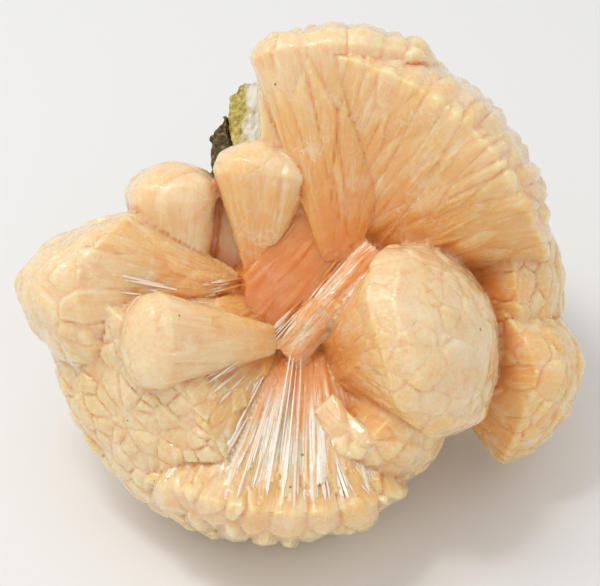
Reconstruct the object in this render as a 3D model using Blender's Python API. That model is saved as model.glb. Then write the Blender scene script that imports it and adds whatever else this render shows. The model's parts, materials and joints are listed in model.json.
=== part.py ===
"""Stilbite cluster: wheatsheaf bundles of flat peach crystals grown together into one mass, with a
scrap of the basalt that they grew on, and the pale crust between the two, still on the back.

The cluster is laid out in its display face, the side that a collector turns to the front:
right, up and out of that face, in millimetres. The whole is then leaned back to its resting pose,
and the crystals that it rests on are worn flat there.
"""

import itertools
import math
import random
from collections import namedtuple

import bmesh
import bpy
from mathutils import Matrix, Vector

MM = 0.001

# The pose: how far above the horizon the display face looks, and how high the waist of the great
# bow tie, the display face's own origin, lies above the resting surface.
LEAN_DEG = 42.0
WAIST_HEIGHT = 39.8

# A sheaf's crystal against the room that it has on the rim: over 1, so that neighbours overlap.
WIDTH_FILL = 1.65
THICKNESS_FILL = 1.3

# One flat crystal: its root's size, how far the shoulder lies behind the tip, and the chamfers,
# as shares of its width and thickness at the shoulder.
ROOT_SHARE = 0.12
TIP_ARCH = 1.8
TIP_WIDTH = 0.46
TIP_THICKNESS = 0.62
SHOULDER_CHAMFER = 0.86

# Crystals of one sheaf differ from each other by these shares and angles.
SEED = 11
LENGTH_SHARE = 0.03
WIDTH_SHARE = 0.2
TIP_SKEW = 0.2
PLACE_SHARE = 0.4
TURN_DEG = 2.0
TWIST_DEG = 8.0

# The body under a sheaf's crystals reaches this share of their length.
CORE_REACH = 0.965
CORE_ACROSS = 7
CORE_SHEETS = 5
# How fast the reach changes from the middle of a fan to its edges.
EDGE_POWER = 1.4

# The gap that keeps the rock and its crust clear of the crystals and of each other.
GAP = 0.35
# A slanted face moves less than its corners, so the crust's corners move this many gaps.
GROWTH = 1.6

# Half the side of the block that the resting plane is cut with, in metres.
GROUND = 0.2

PEACH = (0.80, 0.49, 0.26)
OLIVE_YELLOW = (0.48, 0.42, 0.13)
DARK_BROWN = (0.10, 0.065, 0.035)

# A sheaf is half a bow tie: flat crystals that start together and spread like an open fan.
# root: where they start (right, up, out). heading: their way in the display face, where 0 is
# right and 90 is up. rise: how far they lean out of it. reach: length to the rim. fan and bulge:
# half the spread within the fan and through it. across and sheets: how many crystals, each way.
# waist: how wide their roots lie apart. first and last: the reach at the fan's clockwise and
# other edge, as a share of that at its middle. top: the same for the sheet nearest the viewer.
# back: the same for the sheet farthest away.
Sheaf = namedtuple("Sheaf", "root heading rise reach fan bulge across sheets waist first last top back")


def sheaf(root, heading, rise, reach, fan, bulge, across, sheets, waist=6.0, first=1.0, last=1.0,
          top=1.0, back=1.0):
    return Sheaf(root, heading, rise, reach, fan, bulge, across, sheets, waist, first, last, top, back)


SHEAVES = {
    # the great bow tie: its upper half, and its lower half in a domed and a silky part
    "great_fan": sheaf((5.0, 4.5, -6.0), 54, -4, 41.5, 43, 24, 9, 3, waist=8.0, first=0.94),
    "low_left": sheaf((0.0, -2.0, -5.0), 216, 8, 46.0, 29, 28, 6, 4, top=0.66, back=0.84),
    "low_right": sheaf((1.0, -2.0, -4.0), 262, -4, 44.5, 28, 22, 8, 3, waist=7.0, first=1.02, last=0.9,
                       back=0.86),
    # the right-hand side
    "right_dome": sheaf((5.0, -12.5, 0.0), 15, 24, 31.5, 29, 34, 5, 5, top=0.88),
    "right_under": sheaf((4.0, -16.0, -2.0), -36, 14, 25.5, 29, 26, 4, 3, first=0.8),
    "far_right_low": sheaf((26.0, -15.0, -14.0), 6, 6, 27.5, 40, 26, 4, 3, first=0.66, last=0.72),
    "far_right_high": sheaf((22.0, 0.5, -15.0), 9, 2, 23.0, 19, 18, 3, 2),
    # the left-hand side
    "left_fan": sheaf((-11.0, 0.5, -1.0), 178, 8, 40.5, 23, 18, 6, 3, first=0.55, last=0.88),
    # the far side, which carries the cluster
    "far_down": sheaf((0.0, -4.0, -6.0), 264, -56, 36.0, 38, 30, 4, 3, back=1.08),
    "far_right": sheaf((6.0, -1.0, -8.0), -22, -42, 33.0, 34, 26, 4, 3),
    "far_left": sheaf((-7.0, -3.0, -6.0), 200, -38, 33.0, 30, 26, 4, 3),
    "far_up": sheaf((3.0, 3.0, -8.0), 76, -42, 30.0, 36, 24, 4, 3),
}

# Single crystals that stand clear of the sheaves. root and tip: right, up, out.
# neck: the root's size as a share of the shoulder's. arch: how far the shoulder is behind the tip.
# skew: how far off its middle the tip is, as a share of half the width.
Blade = namedtuple("Blade", "root tip width thick neck arch skew")

BLADES = {
    "top_block_left": Blade((7.0, 10.0, 5.0), (6.5, 47.5, 12.5), 12.5, 7.0, 0.35, 2.6, 0.1),
    "top_block_right": Blade((9.0, 10.0, 4.5), (17.0, 47.6, 11.5), 13.0, 7.0, 0.35, 2.6, -0.1),
    "top_left": Blade((4.0, 11.0, 4.0), (-1.0, 46.6, 9.0), 9.5, 7.0, 0.4, 2.4, 0.2),
    "top_left_edge": Blade((1.5, 15.0, 2.0), (-2.6, 44.0, 5.0), 8.0, 7.0, 0.7, 2.4, 0.1),
    "top_right": Blade((10.0, 10.0, 4.0), (24.0, 42.0, 10.0), 10.0, 6.0, 0.35, 2.4, -0.1),
    "second_left": Blade((7.5, 11.0, 7.0), (4.8, 25.5, 13.0), 7.0, 3.6, 0.4, 2.4, 0.0),
    "second_middle": Blade((8.5, 10.5, 7.0), (16.0, 26.5, 13.0), 7.0, 3.6, 0.4, 2.4, 0.0),
    "second_right": Blade((9.0, 10.5, 7.0), (20.5, 30.0, 12.5), 7.0, 3.6, 0.4, 2.4, 0.0),
    "left_coffin": Blade((-23.4, 0.0, -2.0), (-23.4, 23.0, 3.0), 16.6, 9.0, 0.92, 4.4, -0.15),
    "middle_left": Blade((-9.6, 4.5, 3.0), (-8.8, 28.0, 7.0), 11.0, 8.0, 0.5, 4.0, 0.1),
    "middle_right": Blade((-7.0, 4.5, 4.0), (-3.6, 27.2, 8.0), 10.5, 8.0, 0.5, 4.4, -0.1),
    "front_upper": Blade((-3.0, -7.0, 8.0), (-31.0, -6.4, 19.0), 12.6, 9.0, 0.6, 4.5, 0.1),
    "front_lower": Blade((-3.0, -9.0, 8.0), (-27.0, -10.0, 18.0), 9.5, 8.0, 0.6, 4.5, 0.0),
    "right_bump": Blade((21.0, -3.0, 0.0), (30.0, 8.5, 6.0), 9.5, 8.0, 0.7, 3.0, 0.0),
    "pale_chip": Blade((4.6, -19.5, 7.5), (11.4, -28.4, 11.5), 6.6, 3.2, 0.5, 2.0, 0.1),
}

# The waist: the body that all the sheaves start from, the solid middle behind it, and the silky
# strand in front. The strand is given at both ends and where it narrows.
WAIST_OUTLINE = (
    (-13.0, 4.0), (0.0, 14.5), (9.0, 11.5), (14.5, 6.0), (6.0, -10.0), (-3.0, -10.0), (-12.0, -3.0),
)
WAIST_PIVOT = (0.0, 1.0, 0.0)
WAIST_LEVELS = ((-14.0, 0.8, -1), (-4.0, 1.0, 0), (4.0, 0.8, 1))
HEART_CENTRE = (12.0, -13.0, -9.0)
HEART_RADII = (15.0, 12.0, 12.0)
STRAND_START = (14.5, 6.5, 9.0)
STRAND_MIDDLE = (5.5, -2.2, 10.5)
STRAND_END = (-3.0, -11.0, 8.0)
STRAND_WIDTHS = (10.0, 6.6, 8.5)
STRAND_LEVELS = ((-7.0, 1.0, -1), (-2.2, 1.0, 0), (0.0, 0.55, 1))
STRAND_OVERLAP = (1.2, -1.0)
STRAND_LOWER_SHARE = 0.93

# The rock behind the crystals at the upper left, and the crust between rock and crystals.
ROCK_CORNERS = (
    (-17.0, 22.0, -9.0), (-17.2, 29.5, -12.0), (-13.5, 33.0, -9.0), (-12.6, 26.5, -4.0), (-13.0, 21.0, -5.0),
    (-16.0, 21.0, -22.0), (-15.0, 31.0, -24.0), (-9.0, 33.5, -21.0), (-6.0, 20.0, -26.0), (-7.0, 28.0, -9.0),
)
CRUST_CORNERS = (
    (-13.6, 29.5, -6.0), (-13.4, 36.5, -9.0), (-10.5, 39.2, -8.0), (-7.0, 39.0, -5.0), (-12.5, 26.5, -3.2),
    (-7.0, 26.0, -2.0), (-12.0, 35.0, -17.0), (-8.0, 38.5, -16.0), (-5.0, 26.0, -18.0), (-4.0, 37.0, -8.0),
)


def spread(way, face, side, turn, lean):
    """A direction within the fan, and the normal of the flat crystal that points that way."""
    flat = way * math.cos(turn) + side * math.sin(turn)
    return flat * math.cos(lean) + face * math.sin(lean), face * math.cos(lean) - flat * math.sin(lean)


def axes_of(bundle):
    """The sheaf's way out, the normal of its middle sheet, and the side that its fan opens to."""
    heading, rise = math.radians(bundle.heading), math.radians(bundle.rise)
    way = Vector((math.cos(heading) * math.cos(rise), math.sin(heading) * math.cos(rise), math.sin(rise)))
    face = Vector((0, 0, 1))
    face = (face - way * face.dot(way)).normalized()
    return way, face, face.cross(way)


def root_of(bundle, face, side, place, level):
    return Vector(bundle.root) + side * (bundle.waist / 2 * place) + face * (bundle.waist / 3 * level)


def reach_of(bundle, place, level):
    """Length to the rim at a place across the fan and a level through it, both from -1 to 1."""
    edge = bundle.last if place > 0 else bundle.first
    layer = bundle.top if level > 0 else bundle.back
    return bundle.reach * (1 + (edge - 1) * abs(place) ** EDGE_POWER) * (1 + (layer - 1) * level * level)


def opening(level):
    """How far the fan still opens at a level through it: the outer sheets are narrower."""
    return math.sqrt(1 - 0.5 * level * level)


def crystal(root, way, face, length, width, thick, neck, arch, skew, grow=0.0):
    """Corner points of one flat crystal: a narrow root, chamfered shoulders and an arched tip."""
    side = face.cross(way)
    a, b = width / 2, thick / 2
    sections = (
        (-grow, [(i * (a * neck + grow), j * (b * neck + grow)) for i in (-1, 1) for j in (-1, 1)]),
        (length - arch, [(i * (a + grow), 0) for i in (-1, 1)]
         + [(i * (a * SHOULDER_CHAMFER + grow), j * (b + grow)) for i in (-1, 1) for j in (-1, 1)]),
        (length + grow, [((skew + i * TIP_WIDTH) * a + i * grow, j * (b * TIP_THICKNESS + grow))
                         for i in (-1, 1) for j in (-1, 1)]),
    )
    return [root + way * along + side * x + face * y for along, ring in sections for x, y in ring]


def core(bundle, grow=0.0):
    """Corner points of the body that fills a sheaf: its roots, and a dome just under its tips."""
    way, face, side = axes_of(bundle)
    points = [root_of(bundle, face, side, i, j) for i in (-1, 1) for j in (-1, 1)]
    for j in range(CORE_SHEETS):
        level = 2 * j / (CORE_SHEETS - 1) - 1
        for i in range(CORE_ACROSS):
            place = 2 * i / (CORE_ACROSS - 1) - 1
            turn = math.radians(bundle.fan) * opening(level) * place
            out, _ = spread(way, face, side, turn, math.radians(bundle.bulge) * level)
            points.append(root_of(bundle, face, side, place, level)
                          + out * (reach_of(bundle, place, level) * CORE_REACH + grow))
    return points


def crystals_of(bundle, rng, grow=0.0):
    """The corner points of each crystal in a sheaf."""
    way, face, side = axes_of(bundle)
    width = WIDTH_FILL * math.radians(2 * bundle.fan) * bundle.reach / bundle.across
    thick = THICKNESS_FILL * math.radians(2 * bundle.bulge) * bundle.reach / bundle.sheets
    for sheet in range(bundle.sheets):
        level = 2 * sheet / (bundle.sheets - 1) - 1
        count = max(2, round(bundle.across * opening(level)))
        for i in range(count):
            place = 2 * i / (count - 1) - 1 + rng.uniform(-PLACE_SHARE, PLACE_SHARE) / count
            turn = math.radians(bundle.fan * opening(level) * place + rng.uniform(-TURN_DEG, TURN_DEG))
            lean = math.radians(bundle.bulge * level + rng.uniform(-TURN_DEG, TURN_DEG))
            out, normal = spread(way, face, side, turn, lean)
            normal.rotate(Matrix.Rotation(math.radians(rng.uniform(-TWIST_DEG, TWIST_DEG)), 3, out))
            root = root_of(bundle, face, side, place, level)
            reach = reach_of(bundle, place, level) * (1 + rng.uniform(-LENGTH_SHARE, LENGTH_SHARE))
            share = (1 + rng.uniform(-WIDTH_SHARE, WIDTH_SHARE)) * reach / bundle.reach
            yield crystal(root, out, normal, reach, width * share, thick * share, ROOT_SHARE,
                          TIP_ARCH * share, rng.uniform(-TIP_SKEW, TIP_SKEW), grow)


def blade_points(blade, grow=0.0):
    root, tip = Vector(blade.root), Vector(blade.tip)
    way = (tip - root).normalized()
    face = Vector((0, 0, 1))
    face = (face - way * face.dot(way)).normalized()
    return crystal(root, way, face, (tip - root).length, blade.width, blade.thick, blade.neck,
                   blade.arch, blade.skew, grow)


def waist_points(grow=0.0):
    pivot = Vector(WAIST_PIVOT)
    points = []
    for x, y in WAIST_OUTLINE:
        spot = Vector((x, y, 0)) - pivot
        for z, share, way in WAIST_LEVELS:
            points.append(pivot + spot * share + spot.normalized() * grow + Vector((0, 0, z + way * grow)))
    return points


def heart_points(grow=0.0):
    """The solid middle of the cluster, where the roots of the right-hand and far sheaves meet."""
    centre = Vector(HEART_CENTRE)
    points = []
    for ways in itertools.product((-1, 0, 1), repeat=3):
        if any(ways):
            spot = Vector(ways).normalized()
            points.append(centre + Vector([a * (b + grow) for a, b in zip(spot, HEART_RADII)]))
    return points


def strand_ring(spot, side, width, grow):
    """Corner points across the strand: a flat back, and a front narrower than its middle."""
    half = width / 2 + grow
    return [spot + side * (half * share * i) + Vector((0, 0, z + way * grow))
            for z, share, way in STRAND_LEVELS for i in (-1, 1)]


def strand_points(grow=0.0):
    """The two halves of the silky strand, which overlap where it narrows in front of the waist."""
    start, middle, end = Vector(STRAND_START), Vector(STRAND_MIDDLE), Vector(STRAND_END)
    way = (end - start).normalized()
    side = way.cross(Vector((0, 0, 1)))
    top, waist, foot = STRAND_WIDTHS
    upper = strand_ring(start, side, top, grow)
    upper += strand_ring(middle + way * STRAND_OVERLAP[0], side, waist, grow)
    lower = strand_ring(middle + way * STRAND_OVERLAP[1], side, waist * STRAND_LOWER_SHARE, grow)
    lower += strand_ring(end, side, foot, grow)
    return [upper, lower]


def every_crystal(grow=0.0):
    """Each crystal and core of the cluster as a list of corner points."""
    rng = random.Random(SEED)
    for bundle in SHEAVES.values():
        yield core(bundle, grow)
        yield from crystals_of(bundle, rng, grow)
    for blade in BLADES.values():
        yield blade_points(blade, grow)
    yield waist_points(grow)
    yield heart_points(grow)
    yield from strand_points(grow)


def hull_mesh(name, points, place):
    """The closed convex body around some points of the display face, set in its resting pose."""
    work = bmesh.new()
    for point in points:
        work.verts.new(place @ Vector(point))
    bmesh.ops.convex_hull(work, input=list(work.verts))
    for vert in [v for v in work.verts if not v.link_faces]:
        work.verts.remove(vert)
    bmesh.ops.recalc_face_normals(work, faces=work.faces)
    mesh = bpy.data.meshes.new(name)
    work.to_mesh(mesh)
    work.free()
    return mesh


def boolean(obj, operation, tools=None, tool=None):
    """Applies a union or difference with a collection or an object to the mesh of obj."""
    step = obj.modifiers.new(operation.lower(), "BOOLEAN")
    step.operation = operation
    step.solver = "EXACT"
    if tools:
        step.operand_type = "COLLECTION"
        step.collection = tools
    else:
        step.object = tool
    seen = obj.evaluated_get(bpy.context.evaluated_depsgraph_get())
    mesh = bpy.data.meshes.new_from_object(seen)
    obj.modifiers.remove(step)
    obj.data = mesh


def new_object(name, mesh, collection):
    obj = bpy.data.objects.new(name, mesh)
    collection.objects.link(obj)
    return obj


def fill_hollows(mesh):
    """Leaves only the outermost shell, so that no pocket between the roots stays sealed inside."""
    work = bmesh.new()
    work.from_mesh(mesh)
    unseen = set(work.verts)
    shells = []
    while unseen:
        shell = [unseen.pop()]
        for vert in shell:
            for edge in vert.link_edges:
                other = edge.other_vert(vert)
                if other in unseen:
                    unseen.remove(other)
                    shell.append(other)
        shells.append(shell)
    outer = max(shells, key=len)
    for shell in shells:
        if shell is not outer:
            bmesh.ops.delete(work, geom=shell, context="VERTS")
    work.to_mesh(mesh)
    work.free()


def collection_of(name, bodies, place):
    group = bpy.data.collections.new(name)
    bpy.context.scene.collection.children.link(group)
    for index, points in enumerate(bodies):
        new_object(f"{name}_{index}", hull_mesh(name, points, place), group)
    return group


def drop(group):
    for obj in list(group.objects):
        bpy.data.objects.remove(obj)
    bpy.data.collections.remove(group)


def grown_mesh(mesh):
    """A copy of a piece's mesh, larger by over the gap on every side."""
    work = bmesh.new()
    work.from_mesh(mesh)
    centre = sum((vert.co for vert in work.verts), Vector()) / len(work.verts)
    for vert in work.verts:
        vert.co += (vert.co - centre).normalized() * (GROWTH * GAP * MM)
    grown = bpy.data.meshes.new("grown")
    work.to_mesh(grown)
    work.free()
    return grown


def resting_matrix():
    """Takes the display face, in millimetres, to the resting pose, in metres."""
    lean = Matrix.Rotation(math.radians(90 - LEAN_DEG), 4, "X")
    return Matrix.Translation(Vector((0, 0, WAIST_HEIGHT)) * MM) @ lean @ Matrix.Scale(MM, 4)


def block(name, low, high, collection):
    """A box between two corners, in metres, kept as a guide."""
    corners = [(x, y, z) for x in (low[0], high[0]) for y in (low[1], high[1]) for z in (low[2], high[2])]
    obj = new_object(name, hull_mesh(name, corners, Matrix.Identity(4)), collection)
    obj.hide_render = True
    obj.display_type = "WIRE"
    return obj


def paint(obj, colour, roughness):
    """Gives the piece its own material, in linear colour."""
    material = bpy.data.materials.new(obj.name)
    material.use_nodes = True
    shader = material.node_tree.nodes["Principled BSDF"]
    shader.inputs["Base Color"].default_value = (*colour, 1.0)
    shader.inputs["Roughness"].default_value = roughness
    shader.inputs["Metallic"].default_value = 0.0
    material.diffuse_color = (*colour, 1.0)
    obj.data.materials.clear()
    obj.data.materials.append(material)


def centre_on_base(objects):
    """Moves the pieces so that the origin lies under the middle of their box."""
    spots = [vert.co for obj in objects for vert in obj.data.vertices]
    middle = [(min(p[i] for p in spots) + max(p[i] for p in spots)) / 2 for i in (0, 1)]
    for obj in objects:
        obj.data.transform(Matrix.Translation((-middle[0], -middle[1], 0)))


def main():
    for old in list(bpy.data.objects):
        bpy.data.objects.remove(old)
    scene = bpy.context.scene.collection
    place = resting_matrix()
    bodies = list(every_crystal())
    cluster = new_object("stilbite_cluster", hull_mesh("stilbite_cluster", bodies[0], place), scene)
    group = collection_of("crystals", bodies[1:], place)
    boolean(cluster, "UNION", tools=group)
    drop(group)
    fill_hollows(cluster.data)
    ground = block("ground", (-GROUND, -GROUND, -GROUND), (GROUND, GROUND, 0.0), scene)
    boolean(cluster, "DIFFERENCE", tool=ground)
    bpy.data.objects.remove(ground)
    crust = new_object("pale_crust", hull_mesh("pale_crust", CRUST_CORNERS, place), scene)
    rock = new_object("basalt_matrix", hull_mesh("basalt_matrix", ROCK_CORNERS, place), scene)
    grown_crust = new_object("grown_crust", grown_mesh(crust.data), scene)
    boolean(rock, "DIFFERENCE", tool=grown_crust)
    bpy.data.objects.remove(grown_crust)
    grown = collection_of("grown", list(every_crystal(GAP)), place)
    boolean(crust, "DIFFERENCE", tools=grown)
    boolean(rock, "DIFFERENCE", tools=grown)
    drop(grown)
    centre_on_base([cluster, crust, rock])
    paint(cluster, PEACH, 0.35)
    paint(crust, OLIVE_YELLOW, 0.8)
    paint(rock, DARK_BROWN, 0.9)


main()
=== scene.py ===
"""The stilbite cluster as it looks: the sheaves' forms with their crystals in relief, and silky needles.

Lengths of the layout are millimetres in the display face: right, up and out of it.
"""

import bisect
import itertools
import json
import math
import random
from collections import namedtuple

import bmesh
import bpy
import numpy as np
from mathutils import Matrix, Vector, noise
from mathutils.bvhtree import BVHTree

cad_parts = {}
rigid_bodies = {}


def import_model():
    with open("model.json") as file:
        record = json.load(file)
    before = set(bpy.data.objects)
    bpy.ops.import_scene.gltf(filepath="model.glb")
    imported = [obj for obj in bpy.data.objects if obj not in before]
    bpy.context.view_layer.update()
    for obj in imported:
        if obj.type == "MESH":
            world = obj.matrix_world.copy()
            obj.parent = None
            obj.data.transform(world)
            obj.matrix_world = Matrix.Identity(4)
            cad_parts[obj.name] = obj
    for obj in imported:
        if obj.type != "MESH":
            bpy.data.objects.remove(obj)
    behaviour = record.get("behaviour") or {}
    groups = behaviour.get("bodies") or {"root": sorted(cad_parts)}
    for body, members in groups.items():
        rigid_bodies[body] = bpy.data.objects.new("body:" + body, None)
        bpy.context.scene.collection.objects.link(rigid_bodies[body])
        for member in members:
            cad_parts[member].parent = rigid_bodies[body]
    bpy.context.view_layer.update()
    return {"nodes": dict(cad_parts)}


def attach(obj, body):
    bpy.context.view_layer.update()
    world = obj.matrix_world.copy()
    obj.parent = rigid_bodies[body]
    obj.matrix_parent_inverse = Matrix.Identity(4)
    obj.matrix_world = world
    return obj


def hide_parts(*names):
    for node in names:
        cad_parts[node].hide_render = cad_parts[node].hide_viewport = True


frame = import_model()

MM = 0.001

# The pose of the display face, and where the waist of the great bow tie lies in the row frame.
LEAN_DEG = 42.0
WAIST_PLACE = (-0.64, -4.82, 39.8)

# One flat crystal, as in the solids.
WIDTH_FILL = 1.65
THICKNESS_FILL = 1.3
ROOT_SHARE = 0.12
TIP_WIDTH = 0.46
TIP_THICKNESS = 0.62
SHOULDER_CHAMFER = 0.86
EDGE_POWER = 1.4

# The smooth form of a sheaf: rows of points around its sides and a grid over its rim.
GIRTH_STEPS = 240
GIRTH_POWER = 0.72
GIRTH_NEIGHBOURS = 3
FORM_AROUND = 32
FORM_RINGS = ((0.0, 0.0), (0.25, 0.1), (0.5, 0.3), (0.75, 0.6), (1.0, 1.0))
FORM_REACH = 0.985
# fill: how thick the form is, as a share of its crystals' size. round: how far its rim falls back
# at the edge, as a share of the reach. rows: where along the sides its points lie.
Shape = namedtuple("Shape", "fill round rows")
FAN = Shape(0.8, 0.045, (0.35, 0.6, 0.8, 0.9))
DOME = Shape(0.8, 0.06, (0.35, 0.6, 0.8))
BLUNT = Shape(0.5, 0.10, (0.35, 0.6, 0.8))
SHAPES = {"right_dome": DOME, "right_under": DOME, "far_right_low": DOME, "far_right_high": DOME,
          "left_fan": BLUNT, "front_left": BLUNT, "upper_left": BLUNT, "upper_middle": BLUNT}

# The relief: how wide the bevels beside a crystal's and a group's joints are, in millimetres, how much
# a crystal's face tilts, how much larger than one crystal a group of them is, and how far from an even
# grid the crystals' middles lie.
JOINT_WIDTH = 0.95
GROUP_JOINT_WIDTH = 0.5
TILT = 0.13
GROUP_SIZE = (3.0, 3.0, 1.6)
GROUP_SEED = 50
SCATTER = 0.85
# At the rim the crystals differ more in height and come to a point: where this starts, how soon it is
# full, how much it adds, how pointed they are, and how far from its middle a crystal keeps its height.
RIM_START = 0.86
RIM_EASE = 0.08
RIM_LIFT = 0.8
POINT = 0.2
POINT_MIDDLE = 0.3
# Towards the roots the relief is lower, down to this share. It grows with the distance by this factor.
ROOT_RELIEF = 0.35
ROOT_GROWTH = 1.25
# A sheaf's crystals would meet this far behind its root, as a share of its waist.
APEX_SHARE = 0.8
SHORTEST_BLADE = 10.0
# Where a silky sheaf ends in blades, as a share of its reach, and the waves of that line.
SILKY_RIM = 0.83
SILKY_RIM_WAVES = ((0.05, 1.1), (0.03, 2.9))

# The mesh: its first spacing in millimetres, its smoothing, and how many triangles are left.
SPACING = 0.45
SMOOTHING = 6
SMOOTH_STEPS = (0.5, -0.53)
TRIANGLES = 190000
SHARP_DEG = 38.0
SEED = 5
# A form's faces smaller than this, or with points of the form this far outside them, don't count.
SLIVER_AREA = 1e-4
PLANE_SLACK = 0.05
# How open a point is: the rays from it, their reach and how far above the skin they start, in
# millimetres, and how much longer than the random part of a ray the part along the normal is.
SHADE_RAYS = 12
SHADE_REACH = 9.0
SHADE_LIFT = 0.1
SHADE_NORMAL = 1.02

# A fan of crystals. root: its middle. heading: the way it points, in degrees from right towards up.
# rise: how far it leans out of the display face. reach: its length. fan and bulge: half the angle that
# it opens to, across and through. across and sheets: how many main crystals it has in each way. waist:
# its width at the root. first, last, top and back: its length at each side, as a share of the reach.
Sheaf = namedtuple("Sheaf", "root heading rise reach fan bulge across sheets waist first last top back")
# A single crystal. neck: the root's size as a share of the shoulder's. arch: how far the shoulder is
# behind the tip. skew: how far off its middle the tip is, as a share of half the width.
Blade = namedtuple("Blade", "root tip width thick neck arch skew")
# A convex body before it joins the others, the sheaf or blade that it is, and its crystals' relief.
Form = namedtuple("Form", "points bundle relief")


def sheaf(root, heading, rise, reach, fan, bulge, across, sheets, waist=6.0, first=1.0, last=1.0,
          top=1.0, back=1.0):
    return Sheaf(root, heading, rise, reach, fan, bulge, across, sheets, waist, first, last, top, back)


SHEAVES = {
    "great_fan": sheaf((5.0, 4.5, -6.0), 54, -6, 43.4, 43, 30, 9, 3, waist=8.0, first=0.94, top=1.05),
    "tall_blades": sheaf((7.0, 5.0, 2.0), 89, 10, 44.5, 17, 6, 5, 2, waist=5.0, top=1.03),
    "upper_left": sheaf((-22.8, -6.0, -5.0), 91, 12, 31.0, 8, 9, 3, 2, waist=8.0),
    "upper_middle": sheaf((-8.0, 3.5, 0.0), 86, 12, 25.0, 16, 11, 3, 2, waist=4.0),
    "front_left": sheaf((-5.0, -8.5, 6.0), 180, 24, 29.0, 12, 12, 3, 2, waist=5.0),
    "low_left": sheaf((0.0, -2.0, -5.0), 216, 5, 47.0, 30, 26, 6, 4, top=0.78, back=0.84),
    "low_right": sheaf((1.0, -2.0, -4.0), 262, 0, 45.0, 28, 24, 8, 3, waist=7.0, first=1.02, last=0.9,
                       top=1.06, back=0.86),
    "right_dome": sheaf((5.0, -12.5, 0.5), 15, 24, 32.5, 29, 35, 5, 5, first=0.96, last=0.9, top=0.97),
    "right_under": sheaf((4.0, -16.0, -2.0), -36, 14, 25.5, 29, 26, 4, 3, first=0.8),
    "far_right_low": sheaf((26.0, -15.0, -14.0), 6, 6, 27.5, 40, 26, 4, 3, first=0.8, last=0.72),
    "far_right_high": sheaf((20.0, 0.5, -15.0), 9, 2, 30.0, 22, 24, 3, 2),
    "left_fan": sheaf((-11.0, 0.5, -1.0), 178, 8, 41.2, 23, 18, 6, 3, first=0.68, last=0.88),
    "far_down": sheaf((0.0, -4.0, -6.0), 264, -56, 36.0, 38, 30, 4, 3, back=1.08),
    "far_right": sheaf((6.0, -1.0, -8.0), -22, -42, 33.0, 34, 26, 4, 3),
    "far_left": sheaf((-7.0, -3.0, -6.0), 200, -38, 33.0, 30, 26, 4, 3),
    "far_up": sheaf((3.0, 3.0, -8.0), 76, -42, 30.0, 36, 24, 4, 3),
}

BLADES = {
    "right_bump": Blade((17.0, -5.0, -3.0), (27.5, 6.0, 0.6), 14.0, 9.0, 0.8, 5.0, 0.0),
    "top_left": Blade((-2.6, 14.5, 0.5), (-3.9, 46.5, 6.5), 8.6, 8.0, 0.85, 2.6, -0.2),
    "pale_chip": Blade((4.2, -19.8, 9.6), (11.4, -28.6, 14.2), 7.4, 2.4, 0.6, 3.0, 0.1),
    "behind_left": Blade((-14.0, -2.0, -7.0), (-14.5, 19.5, -5.0), 10.0, 8.0, 0.8, 2.0, 0.0),
}

# The waist, where the sheaves start: its outline, and how wide it is at three levels. The heart is the
# solid middle behind it. The silky strand is given at both ends and where it narrows: its width there,
# and its section, as levels and shares of the width. Its two halves overlap at the narrow place.
WAIST_OUTLINE = (
    (-13.0, 4.0), (-1.0, 17.0), (9.0, 14.5), (14.5, 6.0), (6.0, -10.0), (-3.0, -10.0), (-12.0, -3.0),
)
WAIST_PIVOT = (0.0, 1.0, 0.0)
WAIST_LEVELS = ((-14.0, 0.8), (-4.0, 1.0), (4.0, 0.8))
HEART_CENTRE = (12.0, -13.0, -9.0)
HEART_RADII = (15.0, 12.0, 12.0)
STRAND_START = (15.0, 7.0, 6.4)
STRAND_MIDDLE = (5.5, -2.2, 9.4)
STRAND_END = (-3.0, -11.0, 7.4)
STRAND_WIDTHS = (8.6, 6.6, 8.5)
STRAND_LEVELS = ((-7.0, 1.0), (-2.2, 1.0), (0.0, 0.55))
STRAND_OVERLAP = (1.2, -1.0)
STRAND_LOWER_SHARE = 0.93
# The direction of the waist's crystals.
WAIST_RIDGE_DEG = 48.0

# The kinds of crystal that the material tells apart.
PLAIN, SILKY, PALE, WARM = 0.0, 1.0, 2.0, 3.0

# The crystals that a form shows. width, deep and length: how large one is, in millimetres, across
# the sheaf at its rim, through it and along it. lift: how much neighbours differ in height. ramp:
# how far a crystal's tip stands out over the next one. groups: how much groups of crystals differ in
# height. rim: how sharply the crystals come to a point at the rim. pale: how far from the deep
# orange of the roots, 0, to the pale tips, 1, its ends are. family: the kind of crystal.
Relief = namedtuple("Relief", "width deep length lift ramp groups rim pale family")

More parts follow.
